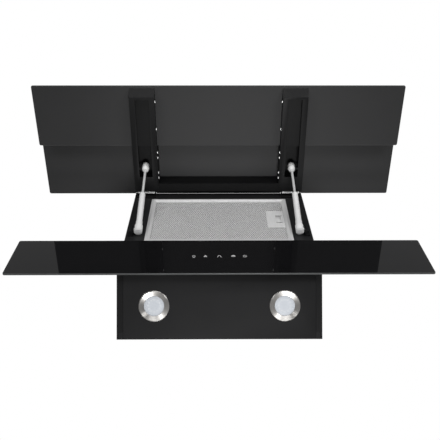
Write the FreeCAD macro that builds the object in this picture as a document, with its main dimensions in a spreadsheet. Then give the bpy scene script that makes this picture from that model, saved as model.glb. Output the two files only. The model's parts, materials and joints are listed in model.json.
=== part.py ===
import FreeCAD, Part

# Wall chimney range hood with an inclined front and an opened glass flap, in millimetres.
# The wall is the plane y = 0, the room is towards -y, and the origin lies between the two wall hanging holes.
# Three working frames are used. The hood frame has z = 0 at the underside of the lamp panel. The slope frame
# lies on the front frame: x across, y up the slope, z out of it. The flap frame has its origin on the hinge
# axis: x across, y out of the glass, z along the flap from the hinge to the free edge.

import math
import os
import re

import Sketcher
from FreeCAD import Vector

SIZES = {
    # Casing
    "body_width": 430,
    "body_height": 313,
    "sheet": 1.2,
    "slope": 60,
    "slope_foot": 143,
    "back_flange": 15,
    "fit": 0.3,
    # Wall holes
    "hang_height": 265,
    "hang_spacing": 300,
    "hang_radius": 4.5,
    "keep_height": 40,
    "keep_spacing": 240,
    "keep_radius": 3.25,
    # Lamp panel and lamps
    "lamp_strip": 13,
    "lamp_tab": 10,
    "lamp_setback": 5,
    "lamp_inset": 78,
    "lamp_back": 69.5,
    "rim_radius": 32,
    "rim_drop": 2,
    "rim_edge": 1.5,
    "neck_radius": 27.8,
    "neck_height": 6,
    "lens_radius": 22,
    "lens_seat": 2,
    "lens_ledge": 0.8,
    "lens_thick": 2.5,
    "lens_crown": 0.8,
    "can_wall": 1.6,
    "can_skirt": 3.6,
    "can_block": 22,
    "fin_count": 3,
    "fin_gap": 3,
    "fin_depth": 7,
    "led_board": 1.6,
    "led_count": 12,
    "led_ring": 12.5,
    "led_side": 2.8,
    "led_drop": 1,
    # Lower fixed glass and its touch control
    "glass_width": 895,
    "glass_thick": 4,
    "glass_corner": 4,
    "lower_drop": 19,
    "lower_length": 132,
    "lower_gap": 2.5,
    "carrier_inset": 15,
    "carrier_start": 6,
    "carrier_length": 94,
    "touch_up": 55.5,
    "touch_width": 170,
    "touch_length": 38,
    "touch_depth": 12,
    "touch_wall": 1.5,
    "touch_ledge": 2.5,
    "touch_board": 1.6,
    # Grease filter
    "filter_border": 45,
    "filter_start": 112,
    "filter_top_gap": 21,
    "filter_thick": 9,
    "filter_proud": 0.5,
    "filter_side": 12.5,
    "filter_head": 19,
    "filter_skin": 1,
    "filter_play": 0.5,
    "seat_ledge": 6,
    "mesh_thick": 0.8,
    "mesh_across": 24,
    "mesh_up": 16,
    "mesh_strand": 3,
    "handle_gap": 0.5,
    "handle_width": 42,
    "handle_low": 181,
    "handle_length": 82,
    "recess_inset": 22,
    "recess_width": 16,
    "recess_low": 203,
    "recess_length": 38,
    "latch_thick": 2.2,
    "latch_width": 16,
    "latch_reach": 6,
    "latch_depth": 4.5,
    "latch_tab": 3,
    # Flap hinges
    "hinge_margin": 11.3,
    "hinge_inset": 29,
    "hinge_out": 8,
    "flap_open": 90,
    "barrel_length": 44,
    "barrel_radius": 2.5,
    "pin_radius": 1.5,
    "pin_head": 2.4,
    "pin_head_thick": 1.5,
    "run_clear": 0.05,
    "ear_thick": 3,
    "ear_radius": 3.2,
    "leaf_thick": 1.5,
    "leaf_length": 30,
    "foot_thick": 2,
    "foot_low": 13,
    "foot_high": 9,
    # Flap glasses, arms and cross beam
    "upper_back": 22.8,
    "upper_end": 142,
    "upper_rise": 43.3,
    "middle_start": 125,
    "middle_end": 277.5,
    "middle_rise": 15.7,
    "arm_overhang": -0.5,
    "arm_width": 61,
    "arm_wall": 1.5,
    "arm_start": 5,
    "arm_end": 254,
    "arm_nose": 17,
    "lip_drop": 0.5,
    "lip_width": 14,
    "slot_start": 45,
    "slot_end": 247,
    "beam_length": 22,
    "screw_first": 40,
    "screw_pair": 14,
    "screw_second": 95,
    "screw_third": 171,
    "screw_last": 14,
    "screw_radius": 3,
    "screw_head": 1.6,
    # Gas struts
    "strut_inset": 29.5,
    "strut_seat": 38.7,
    "ball_out": 11.5,
    "eye_along": 65,
    "eye_out": 8.5,
    "tube_radius": 6.9,
    "tube_bore": 5.8,
    "tube_length": 120,
    "cap_radius": 9.3,
    "cap_length": 12.5,
    "cap_slope": 1.5,
    "cap_tail": 7,
    "cap_dish": 1,
    "cap_bore": 5.2,
    "clip_start": 4,
    "clip_width": 1.4,
    "clip_depth": 1.2,
    "sleeve_radius": 7.7,
    "sleeve_length": 26,
    "gland_length": 8,
    "rod_radius": 3,
    "piston_radius": 5.5,
    "piston_length": 6,
    "socket_radius": 9.3,
    "socket_shank": 9,
    "socket_sleeve": 6,
    "socket_reach": 19,
    "eye_ball": 4.5,
    "stud_radius": 2.8,
    "stud_plate": 2.5,
    "stud_half": 10,
    "cheek_start": 11.5,
    # Blower
    "fan_back": 120,
    "fan_height": 168,
    "fan_width": 114,
    "scroll_radius": 80,
    "scroll_growth": 10,
    "scroll_wall": 2,
    "scroll_flange": 10,
    "inlet_radius": 58,
    "impeller_radius": 72,
    "impeller_length": 100,
    "blade_inner": 60,
    "blade_count": 28,
    "blade_thick": 1.2,
    "blade_sweep": 7,
    "ring_thick": 3,
    "hub_radius": 12,
    "hub_length": 20,
    "shaft_radius": 4,
    "shaft_length": 30,
    "motor_radius": 44,
    "motor_length": 46,
    "motor_bell": 30,
    "spider_thick": 2,
    "spider_ring": 66,
    "spider_disc": 34,
    "spider_arm": 12,
    "capacitor_radius": 17.5,
    "capacitor_length": 58,
    "capacitor_inset": 65,
    "capacitor_height": 170,
    "box_inset": 17,
    "box_width": 88,
    "box_low": 45,
    "box_tall": 80,
    "box_deep": 38,
    "box_round": 5,
    # Outlet collar and back-draught flaps
    "duct_radius": 74.5,
    "collar_wall": 2,
    "collar_height": 50,
    "collar_flange": 9,
    "collar_back": 85,
    "collar_bead": 1.5,
    "damper_height": 18,
    "damper_thick": 1.2,
    "damper_half": 3.4,
    "damper_pin": 1.5,
    "damper_barrel": 2.7,
    "damper_ledge": 3,
    "damper_gap": 1,
    "gland_radius": 11,
    "gland_neck": 7,
    "gland_height": 22,
    "gland_side": 110,
    "gland_back": 195,
    # Chimney covers
    "chimney_width": 280,
    "chimney_depth": 235,
    "chimney_sheet": 1,
    "chimney_return": 12,
    "lower_cover": 400,
    "upper_cover": 430,
    "cover_gap": 0.4,
}

# Sizes and places that follow from those above
DERIVED = {
    "lamp_spacing": "body_width - 2 * lamp_inset",
    "carrier_width": "body_width - 2 * carrier_inset",
    "frame_top": "(body_height - sheet - sheet * cos(slope)) / sin(slope)",
    "hinge_up": "frame_top - hinge_margin",
    "hinge_span": "body_width / 2 - hinge_inset",
    "filter_width": "body_width - 2 * filter_border",
    "filter_length": "hinge_up - filter_top_gap - filter_start",
    "handle_start": "filter_width / 2 - filter_side - handle_gap - handle_width",
    "recess_start": "handle_start + recess_inset",
    "arm_inner": "body_width / 2 + arm_overhang - arm_width",
    "strut_span": "body_width / 2 - strut_inset",
    "ball_up": "lower_length - lower_drop + strut_seat",
    "box_side": "body_width / 2 - box_inset - box_width",
    "capacitor_side": "body_width / 2 - capacitor_inset",
}

doc = FreeCAD.newDocument("RangeHood")
sheet = doc.addObject("Spreadsheet::Sheet", "Sizes")
for row, (alias, value) in enumerate(SIZES.items(), start=1):
    sheet.set(f"A{row}", alias)
    sheet.set(f"B{row}", str(value))
    sheet.setAlias(f"B{row}", alias)
doc.recompute()

PIECES = []


def link(text):
    """An expression in which each size is read from the sheet."""

    def word(match):
        name = match[0]
        if name in DERIVED:
            return f"({link(DERIVED[name])})"
        return f"Sizes.{name}" if name in SIZES else name

    return re.sub(r"[a-z_]+", word, text)


def size(text):
    """The number that a size, or an expression of sizes, comes to."""
    return float(sheet.evalExpression(link(text)))


# Working frames: where a point of the slope lies, and how each frame is placed and turned about X.
def slope_point(up, out):
    """Depth and height in the hood frame of a point on the slope."""
    back = f"(-slope_foot - ({up}) * cos(slope) - ({out}) * sin(slope))"
    rise = f"(({up}) * sin(slope) - ({out}) * cos(slope))"
    return back, rise


HINGE_BACK, HINGE_RISE = slope_point("hinge_up", "hinge_out")
EYE_UP = "(hinge_up + eye_out * sin(flap_open) - eye_along * cos(flap_open))"
EYE_OUT = "(hinge_out + eye_along * sin(flap_open) + eye_out * cos(flap_open))"
STRUT_RISE = f"({EYE_UP} - ball_up)"
STRUT_LIFT = f"({EYE_OUT} - ball_out)"
STRUT_LENGTH = f"sqrt({STRUT_RISE} ^ 2 + {STRUT_LIFT} ^ 2)"
BALL_BACK, BALL_RISE = slope_point("ball_up", "ball_out")

HOOD = (("0", "0", "-hang_height"), "0")
SLOPE = (("0", "-slope_foot", "-hang_height"), "180 - slope")
FLAP = (("0", HINGE_BACK, f"{HINGE_RISE} - hang_height"), "270 - slope - flap_open")
STRUT = (
    ("-strut_span", BALL_BACK, f"{BALL_RISE} - hang_height"),
    f"90 - slope + atan2({STRUT_LIFT}; {STRUT_RISE}) / 1 deg",
)
FAN = (("0", "-fan_back", "fan_height - hang_height"), "0")


def lamp_frame(side):
    return ((f"{side} * lamp_spacing / 2", "-lamp_back", "-hang_height"), "0")


def place(piece, frame):
    """Binds the place and the turn of a piece to its frame."""
    origin, turn = frame
    piece.Placement = FreeCAD.Placement(Vector(), FreeCAD.Rotation(Vector(1, 0, 0), 1))
    for axis, text in zip("xyz", origin):
        piece.setExpression(f"Placement.Base.{axis}", link(text))
    piece.setExpression("Placement.Rotation.Angle", link(turn))
    return piece


# Sketches and features
def new_body(label, frame):
    body = doc.addObject("PartDesign::Body", label)
    body.Label = label
    PIECES.append(body)
    return place(body, frame)


def origin_item(body, role):
    return next(item for item in body.Origin.OriginFeatures if item.Role == role)


def sketch(body, plane, offset="0"):
    drawing = body.newObject("Sketcher::SketchObject", f"{body.Name}_sketch")
    drawing.AttachmentSupport = [(origin_item(body, plane), "")]
    drawing.MapMode = "FlatFace"
    drawing.setExpression("AttachmentOffset.Base.z", link(offset))
    return drawing


def polygon(drawing, corners):
    """Closed outline whose corners are pairs of expressions."""
    count = len(corners)
    first = drawing.GeometryCount
    start = [Vector(math.cos(math.tau * i / count), math.sin(math.tau * i / count)) for i in range(count)]
    lines = [Part.LineSegment(start[i], start[(i + 1) % count]) for i in range(count)]
    drawing.addGeometry(lines, False)
    joins = [
        Sketcher.Constraint("Coincident", first + i, 2, first + (i + 1) % count, 1)
        for i in range(count)
    ]
    drawing.addConstraint(joins)
    for i, corner in enumerate(corners):
        for kind, text, now in zip(("DistanceX", "DistanceY"), corner, start[i]):
            index = drawing.addConstraint(Sketcher.Constraint(kind, -1, 1, first + i, 1, now))
            drawing.setExpression(f"Constraints[{index}]", link(text))
    return drawing


def rectangle(drawing, left, low, right, high):
    return polygon(drawing, [(left, low), (right, low), (right, high), (left, high)])


def circle(drawing, across, up, radius):
    index = drawing.addGeometry(Part.Circle(Vector(1, 1), Vector(0, 0, 1), 1), False)
    for kind, text in (("DistanceX", across), ("DistanceY", up)):
        constraint = drawing.addConstraint(Sketcher.Constraint(kind, -1, 1, index, 3, 1))
        drawing.setExpression(f"Constraints[{constraint}]", link(text))
    constraint = drawing.addConstraint(Sketcher.Constraint("Radius", index, 1))
    drawing.setExpression(f"Constraints[{constraint}]", link(radius))
    return drawing


def feature(body, kind, drawing, length=None, both=False, flip=False):
    made = body.newObject(f"PartDesign::{kind}", f"{body.Name}_{kind.lower()}")
    made.Profile = drawing
    made.Reversed = flip
    if both:
        made.SideType = "Symmetric"
    if length is None:
        made.Type = "ThroughAll"
    else:
        made.setExpression("Length", link(length))
    return made


def pad(body, drawing, length, both=False, flip=False):
    return feature(body, "Pad", drawing, length, both, flip)


def pocket(body, drawing, length=None, both=False, flip=False):
    return feature(body, "Pocket", drawing, length, both, flip)


def turned(body, drawing, axis="V_Axis"):
    made = body.newObject("PartDesign::Revolution", f"{body.Name}_turn")
    made.Profile = drawing
    made.ReferenceAxis = (drawing, [axis])
    made.Angle = 360
    return made


def polar(body, original, count):
    made = body.newObject("PartDesign::PolarPattern", f"{body.Name}_pattern")
    made.Originals = [original]
    made.Axis = (origin_item(body, "X_Axis"), [""])
    made.Angle = 360
    made.setExpression("Occurrences", link(count))
    body.Tip = made
    return made


def round_corners(body, base, radius, axis):
    """Rounds the edges of a feature that run along one axis of its body."""
    doc.recompute()
    names = []
    for number, edge in enumerate(base.Shape.Edges, start=1):
        ends = [vertex.Point for vertex in edge.Vertexes]
        if len(ends) == 2 and abs((ends[1] - ends[0]).normalize().dot(axis)) > 0.999:
            names.append(f"Edge{number}")
    made = body.newObject("PartDesign::Fillet", f"{body.Name}_round")
    made.Base = (base, names)
    made.setExpression("Radius", link(radius))
    return made


def mirrored(label, source):
    """The right-hand twin of a left-hand piece."""
    twin = doc.addObject("Part::Mirroring", label)
    twin.Label = label
    twin.Source = source
    twin.Normal = Vector(1, 0, 0)
    PIECES.append(twin)
    return twin


def paired(label, source):
    """One piece made of a left-hand piece and its right-hand twin."""
    twin = mirrored(f"{source.Label}_twin", source)
    both = doc.addObject("Part::Compound", label)
    both.Label = label
    both.Links = [source, twin]
    PIECES.remove(source)
    PIECES.remove(twin)
    PIECES.append(both)
    return both


def shaped(label, shape, frame):
    """A piece whose outline is worked out from the sheet's numbers."""
    piece = doc.addObject("Part::Feature", label)
    piece.Label = label
    piece.Shape = shape
    PIECES.append(piece)
    return place(piece, frame)


def front_at(height, depth):
    """Depth in the hood frame where a plane at some depth behind the front frame has the given height."""
    return f"(-slope_foot - ({height}) / tan(slope) + ({depth}) / sin(slope))"


# Casing panels
HALF_BODY = "body_width / 2"
TOP_INSIDE = "(body_height - sheet)"


def side_panel():
    body = new_body("left_side_panel", HOOD)
    web = [
        ("0", "0"), (front_at("0", "sheet"), "0"), (front_at(TOP_INSIDE, "sheet"), TOP_INSIDE),
        ("0", TOP_INSIDE),
    ]
    pad(body, polygon(sketch(body, "YZ_Plane", f"-{HALF_BODY}"), web), "sheet")
    strip = sketch(body, "XY_Plane")
    rectangle(
        strip, f"-{HALF_BODY}", front_at("sheet", "2 * sheet"), f"lamp_strip - {HALF_BODY}",
        "-back_flange - fit",
    )
    pad(body, strip, "sheet")
    mirrored("right_side_panel", body)


def back_panel():
    body = new_body("back_panel", HOOD)
    outer, inner = f"({HALF_BODY} - sheet)", f"({HALF_BODY} - 2 * sheet)"
    web = [
        (f"-{outer}", "0"), (f"-{outer}", "-back_flange"), (f"-{inner}", "-back_flange"),
        (f"-{inner}", "-sheet"),
        (inner, "-sheet"), (inner, "-back_flange"), (outer, "-back_flange"), (outer, "0"),
    ]
    pad(body, polygon(sketch(body, "XY_Plane"), web), TOP_INSIDE)
    holes = sketch(body, "XZ_Plane")
    for side in ("-", ""):
        circle(holes, f"{side}hang_spacing / 2", "hang_height", "hang_radius")
        circle(holes, f"{side}keep_spacing / 2", "keep_height", "keep_radius")
    pocket(body, holes, "4 * sheet", both=True)


def top_panel():
    body = new_body("top_panel", HOOD)
    plate = sketch(body, "XY_Plane", TOP_INSIDE)
    rectangle(plate, f"-{HALF_BODY}", front_at("body_height", "0"), HALF_BODY, "0")
    circle(plate, "0", "-collar_back", "duct_radius - collar_wall")
    circle(plate, "-gland_side", "-gland_back", "gland_neck + fit")
    pad(body, plate, "sheet")


FILTER_END = "(filter_start + filter_length)"
OPENING = "(filter_width / 2 + filter_play)"


def front_frame():
    body = new_body("front_frame", SLOPE)
    plate = sketch(body, "XY_Plane", "-sheet")
    rectangle(plate, f"-{HALF_BODY}", "0", HALF_BODY, "frame_top")
    rectangle(plate, f"-{OPENING}", "filter_start - filter_play", OPENING, f"{FILTER_END} + filter_play")
    touch_window(plate)
    pad(body, plate, "sheet")


def touch_window(drawing):
    """Clear opening for the touch control's housing."""
    half, reach = "(touch_width / 2 + fit)", "(touch_length / 2 + fit)"
    rectangle(drawing, f"-{half}", f"touch_up - {reach}", half, f"touch_up + {reach}")


def filter_seat():
    body = new_body("filter_seat", SLOPE)
    floor = "(filter_proud - filter_thick - fit - sheet)"
    low, high = "(filter_start - filter_play)", f"({FILTER_END} + filter_play)"
    wall = sketch(body, "XY_Plane", floor)
    rectangle(wall, f"-{OPENING} - sheet", f"{low} - sheet", f"{OPENING} + sheet", f"{high} + sheet")
    rectangle(wall, f"-{OPENING}", low, OPENING, high)
    pad(body, wall, f"-sheet - {floor}")
    ledge = sketch(body, "XY_Plane", floor)
    rectangle(ledge, f"-{OPENING} - sheet", f"{low} - sheet", f"{OPENING} + sheet", f"{high} + sheet")
    rectangle(
        ledge, f"seat_ledge - {OPENING}", f"{low} + seat_ledge", f"{OPENING} - seat_ledge",
        f"{high} - seat_ledge",
    )
    pad(body, ledge, "sheet")
    slots = sketch(body, "YZ_Plane")
    latch_slot(slots)
    pocket(body, slots, both=True)


LATCH_MIDDLE = "(recess_low + recess_length / 2)"


def latch_slot(drawing):
    """Slot for the latch tongue and, on the other side, for the fixed lug."""
    half, reach = "(latch_thick / 2 + fit)", "(latch_width / 2 + fit)"
    rectangle(
        drawing, f"{LATCH_MIDDLE} - {reach}", f"-latch_depth - {half}", f"{LATCH_MIDDLE} + {reach}",
        f"{half} - latch_depth",
    )


# Lamp panel and lamps
def lamp_panel():
    body = new_body("lamp_panel", HOOD)
    plain, fold = f"({HALF_BODY} - lamp_strip - fit)", f"({HALF_BODY} - lamp_strip - fit - sheet)"
    tab = f"({HALF_BODY} - lamp_strip + lamp_tab)"
    section = [
        (f"-{plain}", "0"), (plain, "0"), (plain, "sheet"), (tab, "sheet"), (tab, "2 * sheet"),
        (fold, "2 * sheet"),
        (fold, "sheet"), (f"-{fold}", "sheet"), (f"-{fold}", "2 * sheet"), (f"-{tab}", "2 * sheet"),
        (f"-{tab}", "sheet"), (f"-{plain}", "sheet"),
    ]
    pad(
        body, polygon(sketch(body, "XZ_Plane", "sheet + fit"), section),
        "slope_foot - lamp_setback - sheet - fit",
    )
    holes = sketch(body, "XY_Plane")
    for side in ("-", ""):
        circle(holes, f"{side}lamp_spacing / 2", "-lamp_back", "neck_radius + fit")
    pocket(body, holes, "4 * sheet", both=True)


def lamp_rim():
    body = new_body("lamp_rim_left", lamp_frame("-1"))
    bore = "(lens_radius + fit)"
    section = [
        ("rim_radius", "0"), ("rim_radius", "rim_edge - rim_drop"), ("rim_radius - rim_edge", "-rim_drop"),
        ("lens_radius - lens_ledge", "lens_seat - lens_ledge"), ("lens_radius - lens_ledge", "lens_seat"),
        (bore, "lens_seat"), (bore, "neck_height"), ("neck_radius", "neck_height"), ("neck_radius", "0"),
    ]
    turned(body, polygon(sketch(body, "XZ_Plane"), section))
    mirrored("lamp_rim_right", body)


def lamp_lens():
    body = new_body("lamp_lens_left", lamp_frame("-1"))
    rest = "(lens_radius - lens_ledge - fit)"
    section = [
        ("0", "lens_seat - lens_crown"), (f"{rest} * 0.7", "lens_seat - lens_crown * 0.7"),
        (rest, "lens_seat"),
        ("lens_radius", "lens_seat"), ("lens_radius", "lens_seat + lens_thick"),
        ("0", "lens_seat + lens_thick"),
    ]
    turned(body, polygon(sketch(body, "XZ_Plane"), section))
    mirrored("lamp_lens_right", body)


def lamp_can():
    body = new_body("lamp_can_left", lamp_frame("-1"))
    block = "(neck_height + can_skirt)"
    section = [
        ("0", block), ("neck_radius - can_wall", block), ("neck_radius - can_wall", "neck_height"),
        ("neck_radius", "neck_height"),
    ]
    pitch = "(can_block / (fin_count + 1))"
    for fin in range(1, int(size("fin_count")) + 1):
        low = f"({block} + {fin} * {pitch} - fin_gap / 2)"
        section += [
            ("neck_radius", low), ("neck_radius - fin_depth", low),
            ("neck_radius - fin_depth", f"{low} + fin_gap"), ("neck_radius", f"{low} + fin_gap"),
        ]
    section += [("neck_radius", f"{block} + can_block"), ("0", f"{block} + can_block")]
    turned(body, polygon(sketch(body, "XZ_Plane"), section))
    mirrored("lamp_can_right", body)


def led_board():
    """Round board under the can's block, with a ring of diodes that shines through the lens."""
    height = size("neck_height") + size("can_skirt") - size("led_board")
    shape = Part.makeCylinder(
        size("neck_radius") - size("can_wall") - size("fit"), size("led_board"), Vector(0, 0, height),
    )
    side, drop = size("led_side"), size("led_drop")
    for step in range(int(size("led_count"))):
        diode = Part.makeBox(
            side, side, drop, Vector(size("led_ring") - side / 2, -side / 2, height - drop),
        )
        diode.rotate(Vector(), Vector(0, 0, 1), 360 * step / size("led_count"))
        shape = shape.fuse(diode)
    board = shaped("led_board_left", shape.removeSplitter(), lamp_frame("-1"))
    mirrored("led_board_right", board)


# Fixed lower glass and touch control
def glass(label, frame, plane, offset, low, high, axis):
    """Glass plate across the whole width, with rounded corners."""
    body = new_body(label, frame)
    plate = sketch(body, plane, offset)
    if plane == "XY_Plane":
        rectangle(plate, "-glass_width / 2", low, "glass_width / 2", high)
        made = pad(body, plate, "glass_thick")
    else:
        rectangle(plate, "-glass_width / 2", low, "glass_width / 2", high)
        made = pad(body, plate, "glass_thick", flip=True)
    round_corners(body, made, "glass_corner", axis)


def lower_front():
    glass(
        "lower_glass", SLOPE, "XY_Plane", "lower_gap", "-lower_drop", "lower_length - lower_drop",
        Vector(0, 0, 1),
    )
    carrier = new_body("lower_glass_carrier", SLOPE)
    plate = sketch(carrier, "XY_Plane")
    rectangle(
        plate, "-carrier_width / 2", "carrier_start", "carrier_width / 2",
        "carrier_start + carrier_length",
    )
    touch_window(plate)
    pad(carrier, plate, "lower_gap")


def touch_rectangle(drawing, inset):
    half, reach = f"(touch_width / 2 - {inset})", f"(touch_length / 2 - {inset})"
    rectangle(drawing, f"-{half}", f"touch_up - {reach}", half, f"touch_up + {reach}")
    return drawing


def touch_control():
    housing = new_body("touch_housing", SLOPE)
    pad(
        housing, touch_rectangle(sketch(housing, "XY_Plane", "lower_gap - touch_depth"), "0"),
        "touch_depth",
    )
    upper = touch_rectangle(sketch(housing, "XY_Plane", "lower_gap"), "touch_wall")
    pocket(housing, upper, "touch_board + fit")
    lower = touch_rectangle(sketch(housing, "XY_Plane", "lower_gap"), "(touch_wall + touch_ledge)")
    pocket(housing, lower, "touch_depth - touch_wall")
    board = new_body("touch_board", SLOPE)
    outline = touch_rectangle(
        sketch(board, "XY_Plane", "lower_gap - touch_board - fit"), "(touch_wall + fit)",
    )
    pad(board, outline, "touch_board")


# Grease filter
FILTER_BACK = "(filter_proud - filter_thick)"
MESH_HALF = "(filter_width / 2 - filter_skin - fit)"


def filter_frame():
    body = new_body("filter_frame", SLOPE)
    half = "(filter_width / 2)"
    ring = sketch(body, "XY_Plane", FILTER_BACK)
    rectangle(ring, f"-{half}", "filter_start", half, FILTER_END)
    inner = f"({half} - filter_side)"
    rectangle(ring, f"-{inner}", "filter_start + filter_side", inner, f"{FILTER_END} - filter_head")
    pad(body, ring, "filter_thick")
    channel = sketch(body, "XY_Plane", "filter_proud - filter_skin")
    wall = f"({half} - filter_skin)"
    rectangle(channel, f"-{wall}", "filter_start + filter_skin", wall, f"{FILTER_END} - filter_skin")
    pocket(body, channel, "filter_thick - 2 * filter_skin")
    slot = sketch(body, "YZ_Plane", f"{wall} - filter_skin")
    latch_slot(slot)
    pocket(body, slot, "4 * filter_skin", flip=True)
    lug = sketch(body, "XY_Plane", "-latch_depth - latch_thick / 2")
    reach = "latch_width / 2"
    rectangle(
        lug, f"-{half} - latch_reach", f"{LATCH_MIDDLE} - {reach}", f"-{wall}",
        f"{LATCH_MIDDLE} + {reach}",
    )
    pad(body, lug, "latch_thick")


def diamond_sheet(lowest, latch_window):
    """Expanded sheet: one face with staggered diamond openings, thickened."""
    half = size("filter_width") / 2 - size("filter_skin") - size("fit")
    low = size("filter_start") + size("filter_skin") + size("fit")
    high = size("filter_start") + size("filter_length") - size("filter_skin") - size("fit")
    across, up, strand = size("mesh_across"), size("mesh_up"), size("mesh_strand")
    open_half = size("filter_width") / 2 - size("filter_side") - strand
    open_low = size("filter_start") + size("filter_side") + strand
    open_high = size("filter_start") + size("filter_length") - size("filter_head") - strand
    window = None
    if latch_window:
        window = [
            size("handle_start") - strand, size("filter_width") / 2 - size("filter_side") + strand,
            size("handle_low") - strand, size("handle_low") + size("handle_length") + strand,
        ]
    holes = []
    reach_x, reach_y = (across - strand) / 2, (up - strand) / 2
    middle = (open_low + open_high) / 2
    columns, rows = int(open_half / across) + 1, int((open_high - open_low) / up) + 1
    for column in range(-2 * columns, 2 * columns + 1):
        for line in range(-rows, rows + 1):
            if (column + line) % 2:
                continue
            x, y = column * across / 2, middle + line * up / 2
            inside = abs(x) + reach_x <= open_half and y - reach_y >= open_low and y + reach_y <= open_high
            if window and x + reach_x > window[0] and x - reach_x < window[1]:
                inside = inside and (y + reach_y < window[2] or y - reach_y > window[3])
            if inside:
                corners = [
                    (x - reach_x, y), (x, y - reach_y), (x + reach_x, y), (x, y + reach_y),
                    (x - reach_x, y),
                ]
                holes.append(Part.makePolygon([Vector(a, b, lowest) for a, b in corners]))
    corners = [(-half, low), (half, low), (half, high), (-half, high), (-half, low)]
    border = Part.makePolygon([Vector(a, b, lowest) for a, b in corners])
    face = Part.makeFace([border] + holes, "Part::FaceMakerBullseye")
    solid = face.extrude(Vector(0, 0, size("mesh_thick")))
    if latch_window:
        solid = solid.cut(latch_room(lowest - size("mesh_thick"), 3 * size("mesh_thick")))
    return solid


def latch_room(lowest, height):
    """Space that the latch slides in, from the finger recess to the frame."""
    left = size("recess_start") - size("latch_reach")
    right = size("filter_width") / 2 - size("filter_skin")
    low, length = size("recess_low"), size("recess_length")
    return Part.makeBox(right - left, length, height, Vector(left, low, lowest))


def filter_layers():
    front = size("filter_proud") - size("filter_skin") - size("mesh_thick")
    back = size("filter_proud") - size("filter_thick") + size("filter_skin")
    shaped("filter_front_mesh", diamond_sheet(front, True), SLOPE)
    shaped("filter_rear_mesh", diamond_sheet(back, False), SLOPE)
    half = size("filter_width") / 2 - size("filter_skin") - size("fit")
    low = size("filter_start") + size("filter_skin") + size("fit")
    length = size("filter_length") - 2 * size("filter_skin") - 2 * size("fit")
    lowest = back + size("mesh_thick")
    core = Part.makeBox(2 * half, length, front - lowest, Vector(-half, low, lowest))
    shaped("filter_core", core.cut(latch_room(lowest - 1, front - lowest + 2)), SLOPE)


def filter_latch():
    plate = new_body("filter_handle_plate", SLOPE)
    outline = sketch(plate, "XY_Plane", "filter_proud - filter_skin")
    rectangle(
        outline, "handle_start", "handle_low", "handle_start + handle_width",
        "handle_low + handle_length",
    )
    rectangle(
        outline, "recess_start", "recess_low", "recess_start + recess_width",
        "recess_low + recess_length",
    )
    pad(plate, outline, "filter_skin")
    latch = new_body("filter_latch", SLOPE)
    reach, end = "latch_width / 2", "(filter_width / 2 + latch_reach)"
    slide = sketch(latch, "XY_Plane", "-latch_depth - latch_thick / 2")
    rectangle(slide, "recess_start + fit", f"{LATCH_MIDDLE} - {reach}", end, f"{LATCH_MIDDLE} + {reach}")
    pad(latch, slide, "latch_thick")
    tab = sketch(latch, "XY_Plane", "-latch_depth")
    right = "(recess_start + recess_width - fit)"
    rectangle(
        tab, f"{right} - latch_tab", "recess_low + latch_tab", right,
        "recess_low + recess_length - latch_tab",
    )
    pad(latch, tab, "latch_depth")


# Flap: hinges, glasses, arms and cross beam
def hinges():
    bracket = new_body("hinge_bracket_left", SLOPE)
    middle, length = "-hinge_span", "(barrel_length + 2 * fit + 2 * ear_thick)"
    foot = sketch(bracket, "YZ_Plane", middle)
    rectangle(foot, "hinge_up - foot_low", "0", "hinge_up + foot_high", "foot_thick")
    pad(bracket, foot, length, both=True)
    post = sketch(bracket, "YZ_Plane", middle)
    rectangle(post, "hinge_up - ear_radius", "foot_thick", "hinge_up + ear_radius", "hinge_out")
    pad(bracket, post, length, both=True)
    head = circle(sketch(bracket, "YZ_Plane", middle), "hinge_up", "hinge_out", "ear_radius")
    pad(bracket, head, length, both=True)
    gap = sketch(bracket, "YZ_Plane", middle)
    rectangle(
        gap, "hinge_up - 2 * ear_radius", "foot_thick", "hinge_up + 2 * ear_radius",
        "hinge_out + 2 * ear_radius",
    )
    pocket(bracket, gap, "barrel_length + 2 * fit", both=True)
    bore = circle(sketch(bracket, "YZ_Plane", middle), "hinge_up", "hinge_out", "pin_radius")
    pocket(bracket, bore, both=True)
    mirrored("hinge_bracket_right", bracket)

    pin = new_body("hinge_pin", SLOPE)
    shank = circle(sketch(pin, "YZ_Plane", middle), "hinge_up", "hinge_out", "pin_radius")
    pad(pin, shank, length, both=True)
    for side, flip in (("-", True), ("+", False)):
        head = sketch(pin, "YZ_Plane", f"{middle} {side} {length} / 2")
        pad(pin, circle(head, "hinge_up", "hinge_out", "pin_head"), "pin_head_thick", flip=flip)
    paired("hinge_pins", pin)

    leaf = new_body("hinge_leaf_left", FLAP)
    barrel = circle(sketch(leaf, "YZ_Plane", middle), "0", "0", "barrel_radius")
    pad(leaf, barrel, "barrel_length", both=True)
    plate = sketch(leaf, "YZ_Plane", middle)
    seat = "(arm_wall - lip_drop)"
    rectangle(plate, seat, "0", f"{seat} + leaf_thick", "leaf_length")
    pad(leaf, plate, "barrel_length", both=True)
    bore = circle(sketch(leaf, "YZ_Plane", middle), "0", "0", "pin_radius + run_clear")
    pocket(leaf, bore, both=True)
    mirrored("hinge_leaf_right", leaf)


def flap_glasses():
    glass("flap_upper_glass", FLAP, "XZ_Plane", "-upper_rise", "-upper_back", "upper_end", Vector(0, 1, 0))
    glass(
        "flap_middle_glass", FLAP, "XZ_Plane", "-middle_rise", "middle_start", "middle_end",
        Vector(0, 1, 0),
    )


STEP = "(middle_start - fit)"


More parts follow.
